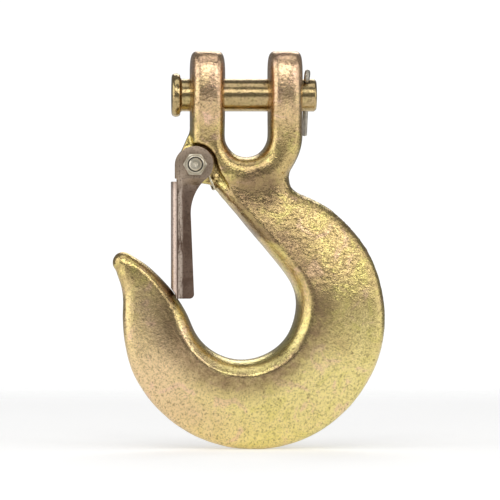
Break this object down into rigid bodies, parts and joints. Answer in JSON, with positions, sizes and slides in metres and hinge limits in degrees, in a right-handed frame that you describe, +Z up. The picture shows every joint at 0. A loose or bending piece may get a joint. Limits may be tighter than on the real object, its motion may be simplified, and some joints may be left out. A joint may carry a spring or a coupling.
{
  "type": "clevis slip hook",
  "caption": "Forged clevis slip hook for chain, with a sprung sheet-metal safety latch bolted below the clevis and a headed load pin kept by a split pin.",
  "frame": {"origin": "the load pin's axis, midway between the clevis ears", "axes": "+Z up the line of pull towards the chain, +X along the load pin towards its split pin and the hook's back, +Y away from the side that carries the latch nut"},
  "size_m": [0.1061, 0.0294, 0.155],
  "materials": {
    "plated_forging": "forged steel, yellow chromate over zinc, satin with a faint iridescence",
    "plated_pin": "turned steel, yellow chromate over zinc",
    "split_pin_steel": "drawn soft steel wire, dull zinc",
    "latch_steel": "pressed sheet steel, dark brown-grey with worn streaks",
    "zinc_hardware": "zinc-plated screw steel",
    "nylon": "dark nylon",
    "spring_steel": "hard-drawn spring wire"
  },
  "bodies": {
    "hook": {"hook_forging": "plated_forging", "latch_bolt": "zinc_hardware", "latch_nut": "zinc_hardware", "nut_ring": "nylon"},
    "latch": {"safety_latch": "latch_steel", "latch_spring": "spring_steel"},
    "clevis_pin": {"clevis_pin": "plated_pin"},
    "split_pin": {"split_pin": "split_pin_steel"}
  },
  "joints": [
    {"name": "latch_hinge", "type": "hinge", "parent": "hook", "child": "latch", "pos_m": [-0.0203, 0, -0.0271], "axis": [0, -1, 0], "range_deg": [0, 39], "stiffness_Nm_per_rad": 0.15, "springref_deg": -34.38, "deforming": ["latch_spring"]},
    {"name": "clevis_pin_spin", "type": "hinge", "parent": "hook", "child": "clevis_pin", "pos_m": [0, 0, 0], "axis": [1, 0, 0], "continuous": true},
    {"name": "split_pin_pull", "type": "slide", "parent": "clevis_pin", "child": "split_pin", "axis": [0, -0.5736, 0.8192], "range_m": [0, 0.025]}
  ]
}
